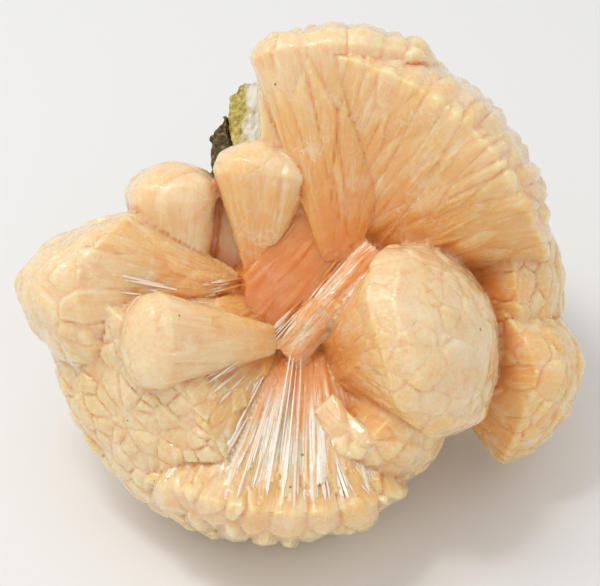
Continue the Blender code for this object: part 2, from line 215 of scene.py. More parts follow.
RELIEFS = {
    "great_fan": Relief(3.6, 11.0, 13.0, 0.25, 0.3, 0.8, 1.3, (0.0, 1.0), PLAIN),
    "tall_blades": Relief(6.0, 18.0, 18.0, 0.3, 0.45, 0.5, 1.0, (0.2, 1.1), PLAIN),
    "upper_left": Relief(11.0, 9.0, 30.0, 0.12, 0.15, 0.2, 0.3, (0.5, 1.1), PLAIN),
    "upper_middle": Relief(9.0, 8.0, 30.0, 0.15, 0.2, 0.2, 0.3, (0.4, 1.05), PLAIN),
    "front_left": Relief(15.0, 9.0, 40.0, 0.1, 0.15, 0.1, 0.2, (0.75, 1.2), PLAIN),
    "low_left": Relief(5.4, 3.2, 6.5, 0.3, 0.4, 0.9, 0.6, (0.1, 1.0), PLAIN),
    "low_right": Relief(1.9, 1.9, 30.0, 0.4, 0.25, 0.6, 0.3, (0.0, 1.0), SILKY),
    "right_dome": Relief(5.0, 5.0, 9.0, 0.30, 0.2, 0.8, 0.0, (0.05, 1.05), PLAIN),
    "right_under": Relief(5.0, 4.6, 8.0, 0.2, 0.25, 0.5, 0.3, (0.1, 0.9), PLAIN),
    "far_right_low": Relief(6.0, 3.4, 10.0, 0.3, 0.35, 0.7, 0.6, (0.1, 0.9), PLAIN),
    "far_right_high": Relief(6.0, 3.4, 10.0, 0.3, 0.35, 0.7, 0.6, (0.1, 0.85), PLAIN),
    "left_fan": Relief(6.5, 4.0, 12.0, 0.25, 0.35, 0.9, 0.6, (0.3, 1.1), PLAIN),
}
FAR_RELIEF = Relief(6.0, 3.4, 10.0, 0.5, 0.5, 1.0, 1.0, (0.0, 1.0), PLAIN)
BLADE_RELIEF = Relief(7.0, 7.0, 30.0, 0.2, 0.2, 0.2, 0.0, (0.4, 1.0), PALE)
RIM_RELIEF = Relief(5.5, 18.0, 14.0, 0.5, 0.4, 0.6, 1.4, (0.1, 1.0), PLAIN)
WAIST_RELIEF = Relief(1.4, 1.4, 14.0, 0.3, 0.2, 0.4, 0.0, (0.05, 0.15), WARM)
STRAND_RELIEF = Relief(1.2, 1.2, 16.0, 0.35, 0.15, 0.3, 0.0, (0.5, 0.5), SILKY)

# Tufts of silky needles on the display face: start, end, the tuft's width at each, how many needles.
Tuft = namedtuple("Tuft", "start end narrow wide count")
TUFTS = (
    Tuft((-6.0, -9.0), (-17.3, -17.6), 3.0, 8.0, 7),
    Tuft((-4.0, -10.0), (-12.0, -25.0), 3.0, 6.0, 6),
    Tuft((-7.0, -19.5), (-14.8, -33.2), 2.5, 5.2, 14),
    Tuft((-2.7, -11.0), (-10.0, -36.5), 3.0, 7.0, 17),
    Tuft((-0.6, -10.4), (-4.0, -42.0), 2.2, 6.6, 16),
    Tuft((1.2, -16.6), (1.0, -42.5), 1.8, 4.8, 12),
    Tuft((3.6, -24.7), (7.4, -42.0), 2.5, 8.0, 18),
    Tuft((7.5, -29.4), (14.0, -37.6), 2.5, 6.0, 10),
    Tuft((-15.4, -1.3), (-33.6, 1.5), 1.5, 5.0, 7),
    Tuft((-16.4, -2.2), (-28.0, -1.6), 1.5, 3.0, 3),
    Tuft((10.5, 7.0), (1.8, -3.1), 6.0, 4.0, 14),
    Tuft((3.5, -0.3), (-5.1, -10.4), 3.5, 6.0, 14),
    Tuft((-9.0, 2.4), (-19.0, 0.2), 1.5, 3.0, 6),
    Tuft((-8.2, 3.3), (0.9, 14.2), 1.2, 2.0, 5),
)
# One needle: where along the tuft its ends lie, its width, how far it stands out of the surface, how
# far its face and its tip lean, and its form.
NEEDLE_ENDS = ((0.0, 0.4), (0.6, 1.0))
NEEDLE_WIDTH = (0.3, 0.8)
NEEDLE_STEP = (-0.15, 0.12)
NEEDLE_LEAN = 0.5
NEEDLE_SKEW = 0.3
NEEDLE_THICK = 0.8
NEEDLE_NECK = 0.3
NEEDLE_ARCH = 2.0
NEEDLE_TIP = 0.15
ABOVE_ALL = 80.0
# The tone that only the needles have. The others' are lower.
NEEDLE_TONE = 1.0

# The crystals' colours, from the roots to the tips, and what lies over them.
ROOT_TO_TIP = (
    (0.10, (0.80, 0.28, 0.06)),
    (0.35, (0.84, 0.34, 0.07)),
    (0.60, (0.88, 0.46, 0.145)),
    (0.85, (0.90, 0.61, 0.28)),
    (1.00, (0.91, 0.695, 0.42)),
)
FEATHER_PALE = (0.95, 0.80, 0.58, 1.0)
FEATHER_DEEP = (0.84, 0.42, 0.14, 1.0)
FRACTURE_WHITE = (0.97, 0.88, 0.72, 1.0)
BLADE_PALE = (0.93, 0.73, 0.45, 1.0)
VEIL_WHITE = (0.94, 0.80, 0.60, 1.0)
CLEAR_ORANGE = (0.86, 0.46, 0.16, 1.0)
# Partly the silky fibres' pale colour and partly painted sheen.
SILK_WHITE_AND_SHEEN = (1.0, 0.92, 0.83, 1.0)
# Painted shade: a deeper orange laid where the mesh is less open, in crevices and between crystals.
PAINTED_CREVICE_SHADE = (0.78, 0.29, 0.07, 1.0)
JOINT_BROWN = (0.50, 0.24, 0.08, 1.0)
SPECK_BROWN = (0.20, 0.10, 0.04, 1.0)
# How deep light goes into the crystals, in metres, and what part of that the silky ones lose.
LIGHT_DEPTH = 0.005
SILKY_LOSS = 0.8

# The rock and the crust: their grain's colours, and where across the cluster, in metres, the crust turns
# white beside the crystals and brown beside the rock.
ROCK_GRAIN = ((0.3, (0.03, 0.02, 0.01)), (0.5, (0.13, 0.08, 0.035)), (0.72, (0.40, 0.31, 0.10)))
CRUST_GRAIN = ((0.3, (0.25, 0.20, 0.04)), (0.5, (0.60, 0.47, 0.11)), (0.72, (0.80, 0.74, 0.35)))
CRUST_WHITE = (0.90, 0.87, 0.76, 1.0)
CRUST_BROWN = (0.16, 0.10, 0.03, 1.0)
WHITE_FROM = (-0.0112, -0.0097)
BROWN_UP_TO = (-0.0165, -0.0145)
GRAIN_BUMP = 0.0006
# Their rough surface: the rounds of finer mesh, and the waves, as fineness per millimetre and size.
ROUGH_ROUNDS = 3
ROUGH_MIDDLE = 0.5
ROUGH_WAVES = ((0.9, 0.5), (2.3, 0.4))

# The studio, in metres and watts.
CAMERA_DISTANCE = 0.45
CAMERA_LENS = 148.5
CAMERA_SENSOR = 36.0
FLOOR_SIZE = 1.5
FLOOR_COLOUR = (0.86, 0.865, 0.87, 1.0)
SKY_COLOUR = (1.0, 0.99, 0.97, 1.0)
SKY_LIGHT = 0.70
Lamp = namedtuple("Lamp", "name spot size power colour")
LAMPS = (
    Lamp("key", (-0.27, 0.05, 0.52), 0.24, 0.66, (1.0, 0.99, 0.97)),
    Lamp("fill", (0.40, -0.60, 0.50), 0.4, 0.15, (1.0, 0.98, 0.95)),
    Lamp("glint", (-0.16, -0.06, 0.60), 0.09, 0.6, (1.0, 1.0, 1.0)),
)


def spread(way, face, side, turn, lean):
    """A direction within the fan, and the normal of the flat crystal that points that way."""
    flat = way * math.cos(turn) + side * math.sin(turn)
    return flat * math.cos(lean) + face * math.sin(lean), face * math.cos(lean) - flat * math.sin(lean)


def axes_of(bundle):
    """The sheaf's way out, the normal of its middle sheet, and the side that its fan opens to."""
    heading, rise = math.radians(bundle.heading), math.radians(bundle.rise)
    way = Vector((math.cos(heading) * math.cos(rise), math.sin(heading) * math.cos(rise), math.sin(rise)))
    face = Vector((0, 0, 1))
    face = (face - way * face.dot(way)).normalized()
    return way, face, face.cross(way)


def root_of(bundle, face, side, place, level):
    return Vector(bundle.root) + side * (bundle.waist / 2 * place) + face * (bundle.waist / 3 * level)


def reach_of(bundle, place, level):
    """Length to the rim at a place across the fan and a level through it, both from -1 to 1."""
    edge = bundle.last if place > 0 else bundle.first
    layer = bundle.top if level > 0 else bundle.back
    return bundle.reach * (1 + (edge - 1) * abs(place) ** EDGE_POWER) * (1 + (layer - 1) * level * level)


def crystal(root, way, face, length, width, thick, neck, arch, skew, tip=TIP_WIDTH):
    """Points of one flat crystal: a narrow root, chamfered shoulders and an arched tip."""
    side = face.cross(way)
    a, b = width / 2, thick / 2
    sections = (
        (0.0, [(i * a * neck, j * b * neck) for i in (-1, 1) for j in (-1, 1)]),
        (length - arch, [(i * a, 0) for i in (-1, 1)]
         + [(i * a * SHOULDER_CHAMFER, j * b) for i in (-1, 1) for j in (-1, 1)]),
        (length, [((skew + i * tip) * a, j * b * TIP_THICKNESS) for i in (-1, 1) for j in (-1, 1)]),
    )
    return [root + way * along + side * x + face * y for along, ring in sections for x, y in ring]


def sizes_of(bundle):
    """Half the width and half the thickness of the sheaf's main crystals at the rim."""
    return (WIDTH_FILL * math.radians(bundle.fan) * bundle.reach / bundle.across,
            THICKNESS_FILL * math.radians(bundle.bulge) * bundle.reach / bundle.sheets)


def rounded(value):
    """A sine or cosine drawn out, which makes an oval fuller at its corners."""
    return math.copysign(abs(value) ** GIRTH_POWER, value)


def girth(bundle):
    """The ring around a sheaf in angles across and through it, with its length."""
    ring = []
    for step in range(GIRTH_STEPS + 1):
        angle = 2 * math.pi * step / GIRTH_STEPS
        ring.append(Vector((math.radians(bundle.fan) * rounded(math.cos(angle)),
                            math.radians(bundle.bulge) * rounded(math.sin(angle)))))
    lengths = [0.0]
    for here, there in zip(ring, ring[1:]):
        lengths.append(lengths[-1] + (there - here).length)
    return ring, lengths


def on_girth(ring, lengths, share):
    """The spot at a share of the way around a sheaf, and the way that its skin faces there."""
    goal = (share % 1.0) * lengths[-1]
    step = min(max(1, bisect.bisect_left(lengths, goal)), len(ring) - 1)
    here, there = ring[step - 1], ring[step]
    run = lengths[step] - lengths[step - 1]
    spot = here.lerp(there, (goal - lengths[step - 1]) / run if run else 0.0)
    before = ring[max(0, step - 1 - GIRTH_NEIGHBOURS)]
    after = ring[min(len(ring) - 1, step + GIRTH_NEIGHBOURS)]
    along = (after - before).normalized()
    return spot, Vector((along.y, -along.x))


def skin_point(bundle, spot, facing, share, fill):
    """A point of the sheaf's side, with the directions out of its root and out of its side."""
    way, face, side = axes_of(bundle)
    turn, lean = spot
    place, level = turn / math.radians(bundle.fan), lean / math.radians(bundle.bulge)
    base, normal = spread(way, face, side, turn, lean)
    outward = (normal.cross(base) * facing.x + normal * facing.y).normalized()
    a, b = sizes_of(bundle)
    half = fill * math.hypot(a * facing.x, b * facing.y) * (ROOT_SHARE + (1 - ROOT_SHARE) * share)
    root = root_of(bundle, face, side, place, level)
    return root, base * (reach_of(bundle, place, level) * share), outward, half


def form_points(bundle, shape):
    """Points of the smooth convex form of a whole sheaf."""
    way, face, side = axes_of(bundle)
    ring, lengths = girth(bundle)
    points = [root_of(bundle, face, side, i, j) for i in (-1, 1) for j in (-1, 1)]
    for share in shape.rows:
        for step in range(FORM_AROUND):
            spot, facing = on_girth(ring, lengths, step / FORM_AROUND)
            root, way_out, outward, half = skin_point(bundle, spot, facing, share, shape.fill)
            points.append(root + way_out + outward * half)
    for size, drop in FORM_RINGS:
        for step in range(FORM_AROUND):
            spot, _ = on_girth(ring, lengths, step / FORM_AROUND)
            turn, lean = spot * size
            place, level = turn / math.radians(bundle.fan), lean / math.radians(bundle.bulge)
            out, _ = spread(way, face, side, turn, lean)
            points.append(root_of(bundle, face, side, place, level)
                          + out * (reach_of(bundle, place, level) * (FORM_REACH - drop * shape.round)))
    return points


def needles(rng, surface):
    """The silky needles, laid on the surface that they belong to."""
    out = Vector((0, 0, 1))
    for tuft in TUFTS:
        start, end = Vector((*tuft.start, 0)), Vector((*tuft.end, 0))
        side = (end - start).normalized().cross(out)
        for i in range(tuft.count):
            place = (i + rng.random()) / tuft.count - 0.5
            ends = []
            for share in [rng.uniform(*span) for span in NEEDLE_ENDS]:
                width = tuft.narrow + (tuft.wide - tuft.narrow) * share
                spot = start.lerp(end, share) + side * (place * width)
                spot = surface.ray_cast(spot + out * ABOVE_ALL, -out)[0]
                ends.append(spot + out * (rng.uniform(*NEEDLE_STEP) - NEEDLE_THICK / 2))
            way = (ends[1] - ends[0]).normalized()
            leans = [rng.uniform(-NEEDLE_LEAN, NEEDLE_LEAN) for _ in range(2)]
            face = Vector((*leans, 1))
            face = (face - way * face.dot(way)).normalized()
            yield crystal(ends[0], way, face, (ends[1] - ends[0]).length, rng.uniform(*NEEDLE_WIDTH),
                          NEEDLE_THICK, NEEDLE_NECK, NEEDLE_ARCH, rng.uniform(-NEEDLE_SKEW, NEEDLE_SKEW),
                          tip=NEEDLE_TIP)


def blade_points(blade):
    root, tip = Vector(blade.root), Vector(blade.tip)
    way = (tip - root).normalized()
    face = Vector((0, 0, 1))
    face = (face - way * face.dot(way)).normalized()
    return crystal(root, way, face, (tip - root).length, blade.width, blade.thick, blade.neck,
                   blade.arch, blade.skew)


def waist_points():
    pivot = Vector(WAIST_PIVOT)
    return [pivot + (Vector((x, y, 0)) - pivot) * share + Vector((0, 0, z))
            for x, y in WAIST_OUTLINE for z, share in WAIST_LEVELS]


def heart_points():
    """The solid middle of the cluster, where the roots of the right-hand and far sheaves meet."""
    ways = [Vector(way).normalized() for way in itertools.product((-1, 0, 1), repeat=3) if any(way)]
    return [Vector(HEART_CENTRE) + Vector([a * b for a, b in zip(way, HEART_RADII)]) for way in ways]


def strand_ring(spot, side, width):
    half = width / 2
    return [spot + side * (half * share * i) + Vector((0, 0, z))
            for z, share in STRAND_LEVELS for i in (-1, 1)]


def strand_points():
    """The two halves of the silky strand, which overlap where it narrows in front of the waist."""
    start, middle, end = Vector(STRAND_START), Vector(STRAND_MIDDLE), Vector(STRAND_END)
    way = (end - start).normalized()
    side = way.cross(Vector((0, 0, 1)))
    top, waist, foot = STRAND_WIDTHS
    upper_end, lower_end = (middle + way * step for step in STRAND_OVERLAP)
    upper = strand_ring(start, side, top) + strand_ring(upper_end, side, waist)
    lower = strand_ring(lower_end, side, waist * STRAND_LOWER_SHARE) + strand_ring(end, side, foot)
    return [upper, lower]


def every_form():
    """Each convex form of the cluster."""
    for name, bundle in SHEAVES.items():
        yield Form(form_points(bundle, SHAPES.get(name, FAN)), bundle, RELIEFS.get(name, FAR_RELIEF))
    for blade in BLADES.values():
        yield Form(blade_points(blade), blade, BLADE_RELIEF)
    turn = math.radians(WAIST_RIDGE_DEG)
    x, y, z = WAIST_PIVOT
    along = Blade(WAIST_PIVOT, (x + math.cos(turn), y + math.sin(turn), z), 0, 0, 0, 0, 0)
    yield Form(waist_points(), along, WAIST_RELIEF)
    yield Form(heart_points(), along, WAIST_RELIEF)
    strand = Blade(STRAND_END, STRAND_START, 0, 0, 0, 0, 0)
    for points in strand_points():
        yield Form(points, strand, STRAND_RELIEF)


def resting_matrix():
    """Takes the display face, in millimetres, to the row frame, in metres."""
    lean = Matrix.Rotation(math.radians(90 - LEAN_DEG), 4, "X")
    return Matrix.Translation(Vector(WAIST_PLACE) * MM) @ lean @ Matrix.Scale(MM, 4)


def hull_mesh(points, place):
    """The closed convex mesh around some points."""
    work = bmesh.new()
    for point in points:
        work.verts.new(place @ point)
    bmesh.ops.convex_hull(work, input=list(work.verts))
    for vert in [v for v in work.verts if not v.link_faces]:
        work.verts.remove(vert)
    bmesh.ops.recalc_face_normals(work, faces=work.faces)
    mesh = bpy.data.meshes.new("crystal")
    work.to_mesh(mesh)
    work.free()
    return mesh


def with_modifier(mesh, kind, **settings):
    """The mesh after one modifier."""
    obj = bpy.data.objects.new("work", mesh)
    bpy.context.scene.collection.objects.link(obj)
    step = obj.modifiers.new("step", kind)
    for key, value in settings.items():
        setattr(step, key, value)
    made = bpy.data.meshes.new_from_object(obj.evaluated_get(bpy.context.evaluated_depsgraph_get()))
    bpy.data.objects.remove(obj)
    return made


def grown_together(bodies, place):
    """One closed mesh around all the bodies."""
    group = bpy.data.collections.new("crystals")
    bpy.context.scene.collection.children.link(group)
    for points in bodies[1:]:
        group.objects.link(bpy.data.objects.new("crystal", hull_mesh(points, place)))
    mesh = with_modifier(hull_mesh(bodies[0], place), "BOOLEAN", operation="UNION", solver="MANIFOLD",
                         operand_type="COLLECTION", collection=group)
    for obj in list(group.objects):
        bpy.data.objects.remove(obj)
    bpy.data.collections.remove(group)
    return mesh


def points_of(mesh):
    flat = np.empty(len(mesh.vertices) * 3, dtype=np.float32)
    mesh.vertices.foreach_get("co", flat)
    return flat.reshape(-1, 3).astype(np.float64)


def normals_of(mesh):
    flat = np.empty(len(mesh.vertices) * 3, dtype=np.float32)
    mesh.vertex_normals.foreach_get("vector", flat)
    return flat.reshape(-1, 3).astype(np.float64)


def smooth(mesh, rounds):
    """Evens out the mesh without making it smaller."""
    ends = np.empty(len(mesh.edges) * 2, dtype=np.int32)
    mesh.edges.foreach_get("vertices", ends)
    one, two = ends.reshape(-1, 2).T
    count = len(mesh.vertices)
    degree = np.bincount(one, minlength=count) + np.bincount(two, minlength=count)
    spots = points_of(mesh)
    for turn in range(2 * rounds):
        total = np.stack([np.bincount(one, spots[two, i], count) + np.bincount(two, spots[one, i], count)
                          for i in range(3)], axis=1)
        spots += (total / degree[:, None] - spots) * SMOOTH_STEPS[turn % 2]
    mesh.vertices.foreach_set("co", spots.astype(np.float32).ravel())
    mesh.update()


def random_of(cell, seed):
    """Three even random numbers for each whole-numbered cell."""
    mixed = cell[:, 0] * 73856093 ^ cell[:, 1] * 19349663 ^ cell[:, 2] * 83492791 ^ (seed * 40503 + 977)
    parts = []
    for factor in (2246822519, 3266489917, 668265263):
        value = (mixed ^ (mixed >> 15)) * factor & 0xFFFFFFFF
        value = (value ^ (value >> 13)) * 1274126177 & 0xFFFFFFFF
        parts.append(((value ^ (value >> 16)) & 0xFFFFFF) / 0x1000000)
    return np.stack(parts, axis=1)


def nearest_crystal(spots, seed):
    """For each spot in a packing of crystals: three random numbers of the crystal that it is in, the
    way there from the crystal's middle, and how much farther the next crystal's middle is."""
    base = np.floor(spots).astype(np.int64)
    best = np.full(len(spots), np.inf)
    second = best.copy()
    numbers, away = np.zeros_like(spots), np.zeros_like(spots)
    for shift in itertools.product((-1, 0, 1), repeat=3):
        cell = base + np.array(shift)
        own = random_of(cell, seed)
        off = spots - cell - 0.5 - (own - 0.5) * SCATTER
        far = (off ** 2).sum(axis=1)
        closer = far < best
        second = np.where(closer, best, np.minimum(second, far))
        best = np.where(closer, far, best)
        numbers[closer], away[closer] = own[closer], off[closer]
    return numbers, away, np.sqrt(second) - np.sqrt(best)


def eased(value):
    """From 0 to 1 without a corner, and level outside."""
    value = np.clip(value, 0.0, 1.0)
    return value * value * (3 - 2 * value)


def planes_of(points):
    """The planes around a form, without those of slivers, which have no sure direction."""
    mesh = hull_mesh(points, Matrix.Identity(4))
    spots = points_of(mesh)
    middle = spots.mean(axis=0)
    planes = []
    for face in mesh.polygons:
        normal = np.array(face.normal)
        level = normal @ spots[face.vertices[0]]
        if normal @ middle > level:
            normal, level = -normal, -level
        if face.area > SLIVER_AREA and (spots @ normal).max() < level + PLANE_SLACK:
            planes.append((*normal, -level))
    bpy.data.meshes.remove(mesh)
    return planes


def inside_sheaf(spots, bundle):
    """Angles across and through a sheaf, in millimetres at its rim, and the distance from its root."""
    way, face, side = (np.array(axis) for axis in axes_of(bundle))
    behind = bundle.waist * APEX_SHARE
    spots = spots - np.array(bundle.root) + way * behind
    far = np.linalg.norm(spots, axis=1)
    turn = np.arctan2(spots @ side, spots @ way)
    lean = np.arcsin(np.clip(spots @ face / far, -1, 1))
    reach = bundle.reach
    place = np.clip(turn / math.radians(bundle.fan), -1, 1)
    level = np.clip(lean / math.radians(bundle.bulge), -1, 1)
    edge = np.where(place > 0, bundle.last, bundle.first)
    layer = np.where(level > 0, bundle.top, bundle.back)
    rim = reach * (1 + (edge - 1) * np.abs(place) ** EDGE_POWER) * (1 + (layer - 1) * level ** 2)
    return np.stack([turn * reach, lean * reach, far], axis=1), far / (rim + behind)


def inside_blade(spots, blade):
    """The same for a single crystal: straight distances across, through and along it."""
    root, tip = Vector(blade.root), Vector(blade.tip)
    way = (tip - root).normalized()
    face = Vector((0, 0, 1))
    face = (face - way * face.dot(way)).normalized()
    side = face.cross(way)
    off = spots - np.array(root)
    return (np.stack([off @ np.array(side), off @ np.array(face), off @ np.array(way)], axis=1),
            off @ np.array(way) / max((tip - root).length, SHORTEST_BLADE))


def owners_of(spots, forms):
    """For each spot, the number of the form that it lies deepest in."""
    nearest = np.full(len(spots), np.inf)
    owner = np.zeros(len(spots), dtype=np.int32)
    for index, form in enumerate(forms):
        depth = np.full(len(spots), -np.inf)
        for a, b, c, d in planes_of(form.points):
            np.maximum(depth, spots[:, 0] * a + spots[:, 1] * b + spots[:, 2] * c + d, out=depth)
        closer = depth < nearest
        owner[closer], nearest[closer] = index, depth[closer]
    return owner


def reliefs_on(form, grid, share):
    """The reliefs that a form shows, each with its part of the spots. A silky sheaf ends in blades."""
    if form.relief.family == SILKY and isinstance(form.bundle, Sheaf):
        rim = share > sum((size * np.sin(grid[:, 0] * fine) for size, fine in SILKY_RIM_WAVES), SILKY_RIM)
        return (form.relief, ~rim), (RIM_RELIEF, rim)
    return ((form.relief, np.ones(len(share), dtype=bool)),)


def raised(form, relief, spot, level, seed):
    """The height of the crystals at some spots of a form, and their marks for the material."""
    size = np.array((relief.width, relief.deep, relief.length))
    numbers, away, gap = nearest_crystal(spot / size, seed)
    group, _, group_gap = nearest_crystal(spot / (size * GROUP_SIZE), seed + GROUP_SEED)
    rim = eased((level - RIM_START) / RIM_EASE) * relief.rim
    own = (numbers[:, 0] * relief.lift * (1 + RIM_LIFT * rim) + (away[:, 2] + 0.5) * relief.ramp
           + (numbers[:, 1] - 0.5) * away[:, 0] * relief.width * TILT
           + (numbers[:, 2] - 0.5) * away[:, 1] * relief.deep * TILT
           + rim * POINT * relief.width * (POINT_MIDDLE - np.abs(away[:, 0])))
    own = own * eased(gap * relief.width / JOINT_WIDTH) - (relief.lift + relief.ramp) / 2
    if isinstance(form.bundle, Sheaf):
        own *= np.clip(level * ROOT_GROWTH, ROOT_RELIEF, 1)
    shared = (group[:, 0] - 0.5) * relief.groups * eased(group_gap * relief.width / GROUP_JOINT_WIDTH)
    paleness = relief.pale[0] + (relief.pale[1] - relief.pale[0]) * level
    return own + shared, np.stack([paleness, numbers[:, 1], gap * relief.width], axis=1)


def carve(mesh, forms):
    """The height of the crystals at each point of the mesh, and which crystal the point is in."""
    spots = points_of(mesh)
    owner = owners_of(spots, forms)
    height = np.zeros(len(spots))
    lines = np.zeros((len(spots), 3))
    marks = np.zeros((len(spots), 3))
    family = np.zeros(len(spots))
    for index, form in enumerate(forms):
        chosen = np.nonzero(owner == index)[0]
        measure = inside_sheaf if isinstance(form.bundle, Sheaf) else inside_blade
        grid, share = measure(spots[chosen], form.bundle)
        for relief, part in reliefs_on(form, grid, share):
            places = chosen[part]
            height[places], marks[places] = raised(form, relief, grid[part], share[part], index)
            lines[places] = grid[part]
            family[places] = relief.family
    return height, lines, marks, family


def keep_outer_shell(mesh):
    """Drops the small shells inside the mesh and at the resting surface, which nobody sees."""
    work = bmesh.new()
    work.from_mesh(mesh)
    unseen = set(work.verts)
    shells = []
    while unseen:
        shell = [unseen.pop()]
        for vert in shell:
            for edge in vert.link_edges:
                other = edge.other_vert(vert)
                if other in unseen:
                    unseen.remove(other)
                    shell.append(other)
        shells.append(shell)
    outer = max(shells, key=len)
    for shell in shells:
        if shell is not outer:
            bmesh.ops.delete(work, geom=shell, context="VERTS")
    work.to_mesh(mesh)
    work.free()


def cut_level(mesh):
    """Cuts the mesh off at the resting surface."""
    work = bmesh.new()
    work.from_mesh(mesh)
    bmesh.ops.bisect_plane(work, geom=work.verts[:] + work.edges[:] + work.faces[:], dist=1e-7,
                           plane_co=(0, 0, 0), plane_no=(0, 0, -1), clear_outer=True)
    rim = [e for e in work.edges if e.is_boundary]
    bmesh.ops.holes_fill(work, edges=rim, sides=0)
    work.to_mesh(mesh)
    work.free()


class Graph:
    """Short calls for the nodes of one material."""

    def __init__(self, name):
        self.material = bpy.data.materials.new(name)
        self.material.use_nodes = True
        self.tree = self.material.node_tree
        self.shader = self.tree.nodes["Principled BSDF"]

    def node(self, kind, inputs=None, **settings):
        made = self.tree.nodes.new(kind)
        for key, value in settings.items():
            setattr(made, key, value)
        for key, value in (inputs or {}).items():
            self.feed(made.inputs[key], value)
        return made

    def feed(self, socket, value):
        if isinstance(value, bpy.types.NodeSocket):
            self.tree.links.new(value, socket)
        else:
            socket.default_value = value

    def look(self, **inputs):
        """Sets the shader's inputs, whose names have spaces for underscores."""
        for name, value in inputs.items():
            self.feed(self.shader.inputs[name.replace("_", " ")], value)

    def math(self, operation, *values):
        made = self.node("ShaderNodeMath", operation=operation)
        for socket, value in zip(made.inputs, values):
            self.feed(socket, value)
        return made.outputs[0]

    def mix(self, factor, a, b):
        made = self.node("ShaderNodeMix", data_type="RGBA")
        self.feed(made.inputs[0], factor)
        self.feed(made.inputs[6], a)
        self.feed(made.inputs[7], b)
        return made.outputs[2]

    def swing(self, value, size):
        """A value between 0 and 1 as one between -size and size."""
        return self.math("MULTIPLY_ADD", value, 2 * size, -size)

    def span(self, value, low, high, to_low=0.0, to_high=1.0):
        """An even passage from one number to another while the value goes from low to high."""
        made = self.node("ShaderNodeMapRange", interpolation_type="SMOOTHSTEP")
        for socket, number in zip(made.inputs, (value, low, high, to_low, to_high)):
            self.feed(socket, number)
        return made.outputs[0]

    def ramp(self, factor, stops):
        made = self.node("ShaderNodeValToRGB")
        self.feed(made.inputs[0], factor)
        colours = made.color_ramp.elements
        while len(colours) < len(stops):
            colours.new(0.5)
        for element, (position, colour) in zip(colours, stops):
            element.position = position
            element.color = (*colour, 1.0)
        return made.outputs[0]

    def noise(self, vector, scale, detail=3.0, roughness=0.5, distortion=0.0):
        made = self.node("ShaderNodeTexNoise", {"Vector": vector, "Scale": scale, "Detail": detail,
                                                "Roughness": roughness, "Distortion": distortion})
        return made.outputs[0]

    def attribute(self, name):
        made = self.node("ShaderNodeAttribute", attribute_name=name)
        return self.node("ShaderNodeSeparateXYZ", {0: made.outputs["Vector"]}).outputs

    def vector(self, x, y, z):
        return self.node("ShaderNodeCombineXYZ", {0: x, 1: y, 2: z}).outputs[0]

    def bump(self, height, distance, strength=1.0, normal=None):
        made = self.node("ShaderNodeBump", {"Height": height, "Distance": distance, "Strength": strength})
        if normal is not None:
            self.feed(made.inputs["Normal"], normal)
        return made.outputs[0]


